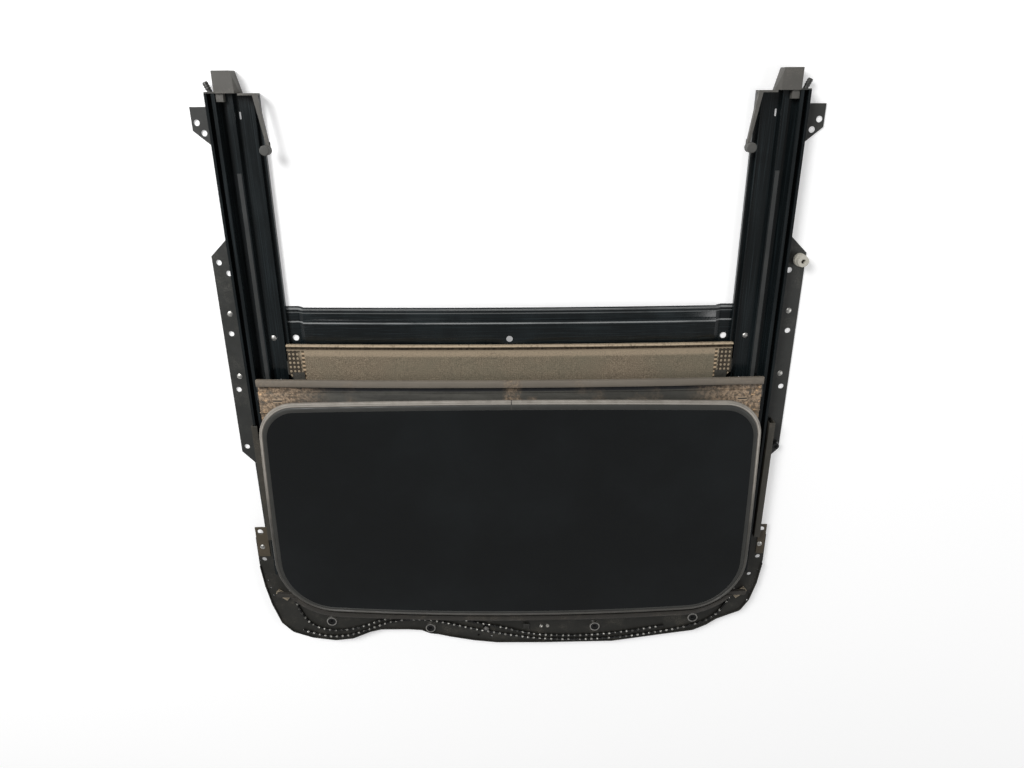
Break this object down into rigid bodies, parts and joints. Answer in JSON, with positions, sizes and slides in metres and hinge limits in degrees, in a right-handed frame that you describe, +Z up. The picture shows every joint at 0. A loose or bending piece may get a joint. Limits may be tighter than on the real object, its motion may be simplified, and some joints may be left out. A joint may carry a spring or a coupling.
{
  "type": "car sunroof assembly",
  "caption": "Sliding and tilting car sunroof: a framed glass pane and a sunshade on two guide rails, with a wind deflector, drain gutter, motor and drive cables.",
  "frame": {"origin": "middle of the outline, on the plane that the unit rests on", "axes": "+X the car's left, +Y its rear, along the rails, +Z up through the roof"},
  "size_m": [0.964, 1.057, 0.061],
  "materials": {
    "adjuster_white": "natural moulded",
    "buffer_rubber": "matte",
    "bush_metal": "bright plated",
    "bush_rubber": "matte",
    "cable_steel": "dark greased wire",
    "cap_grey": "moulded, dusty",
    "carriage_steel": "dark plated",
    "cover_grey": "moulded, dusty",
    "cross_black": "gloss black coated sheet",
    "deflector_plastic": "moulded, dusty",
    "flange_steel": "dull dark coated sheet",
    "foam_beige": "open foam",
    "frame_black": "moulded, dusty",
    "gutter_metal": "dull grey with dirt and rust",
    "knob_black": "gloss",
    "motor_plastic": "glass-filled moulding",
    "motor_steel": "plated can",
    "nipple_black": "moulded",
    "pane_glass": "dark privacy glass, polished",
    "pinion_steel": "machined",
    "plate_steel": "dull, stained",
    "rail_black": "gloss black coated extrusion",
    "rivet_steel": "dull plated",
    "seal_rubber": "matte moulded rubber",
    "shade_cloth": "greige fibre board",
    "shade_plastic": "moulded",
    "strip_grey": "satin"
  },
  "bodies": {
    "unit": {"adjuster_bush": "adjuster_white", "bush_rings": "bush_metal", "cable_cover_left": "cover_grey", "cable_cover_right": "cover_grey", "corner_foam_pads": "foam_beige", "deflector_pivot_left": "deflector_plastic", "deflector_pivot_right": "deflector_plastic", "drain_nipple_left": "nipple_black", "drain_nipple_right": "nipple_black", "drive_cable_left": "cable_steel", "drive_cable_right": "cable_steel", "end_stop_arm_left": "cap_grey", "end_stop_arm_right": "cap_grey", "flange_knob": "knob_black", "frame_bushes": "bush_rubber", "frame_clip": "frame_black", "front_frame": "frame_black", "front_side_plate_left": "plate_steel", "front_side_plate_right": "plate_steel", "guide_rail_left": "rail_black", "guide_rail_right": "rail_black", "locating_peg": "frame_black", "motor_can": "motor_steel", "motor_housing": "motor_plastic", "motor_screws": "bush_metal", "rail_end_cap_left": "cap_grey", "rail_end_cap_right": "cap_grey", "rear_bracket_left": "flange_steel", "rear_bracket_right": "flange_steel", "rear_cross_member": "cross_black", "rivets": "rivet_steel", "side_flange_left": "flange_steel", "side_flange_right": "flange_steel", "slide_strip_left": "strip_grey", "slide_strip_right": "strip_grey", "stop_buffer_left": "buffer_rubber", "stop_buffer_right": "buffer_rubber"},
    "carriages": {"carriage_left": "carriage_steel", "carriage_right": "carriage_steel", "rear_gutter": "gutter_metal", "gutter_end_left": "gutter_metal", "gutter_end_right": "gutter_metal"},
    "glass": {"glass_pane": "pane_glass", "glass_seal": "seal_rubber", "glass_bracket_left": "carriage_steel", "glass_bracket_right": "carriage_steel"},
    "lever_left": {"lift_lever_left": "carriage_steel"},
    "lever_right": {"lift_lever_right": "carriage_steel"},
    "sunshade": {"sunshade_panel": "shade_cloth", "shade_lip": "shade_plastic", "shade_shoes": "shade_plastic", "shade_clips": "shade_plastic"},
    "deflector": {"deflector_bar": "deflector_plastic", "deflector_arm_left": "deflector_plastic", "deflector_arm_right": "deflector_plastic"},
    "pinion": {"drive_pinion": "pinion_steel"}
  },
  "joints": [
    {"name": "panel_slide", "type": "slide", "parent": "unit", "child": "carriages", "axis": [0, 1, 0], "range_m": [0, 0.36]},
    {"name": "glass_tilt", "type": "hinge", "parent": "carriages", "child": "glass", "pos_m": [0, -0.32, 0.027], "axis": [1, 0, 0], "range_deg": [0, 3.5]},
    {"name": "lever_left_turn", "type": "hinge", "parent": "carriages", "child": "lever_left", "pos_m": [0.416, -0.12, 0.0215], "axis": [1, 0, 0], "range_deg": [0, 15.5]},
    {"name": "lever_right_turn", "type": "hinge", "parent": "carriages", "child": "lever_right", "pos_m": [-0.416, -0.12, 0.0215], "axis": [1, 0, 0], "range_deg": [0, 15.5]},
    {"name": "shade_slide", "type": "slide", "parent": "unit", "child": "sunshade", "axis": [0, 1, 0], "range_m": [0, 0.37]},
    {"name": "deflector_lift", "type": "hinge", "parent": "unit", "child": "deflector", "pos_m": [0, -0.215, 0.014], "axis": [-1, 0, 0], "range_deg": [0, 7.9]},
    {"name": "pinion_turn", "type": "hinge", "parent": "unit", "child": "pinion", "pos_m": [-0.05, -0.488, 0.012], "axis": [0, 0, 1], "range_deg": [0, 3820]}
  ],
  "couplings": [
    {"joint": "lever_left_turn", "follows": "glass_tilt", "ratio": 4.4},
    {"joint": "lever_right_turn", "follows": "glass_tilt", "ratio": 4.4},
    {"joint": "deflector_lift", "follows": "panel_slide", "rad_per_m": 0.38},
    {"joint": "pinion_turn", "follows": "panel_slide", "rad_per_m": 185}
  ]
}
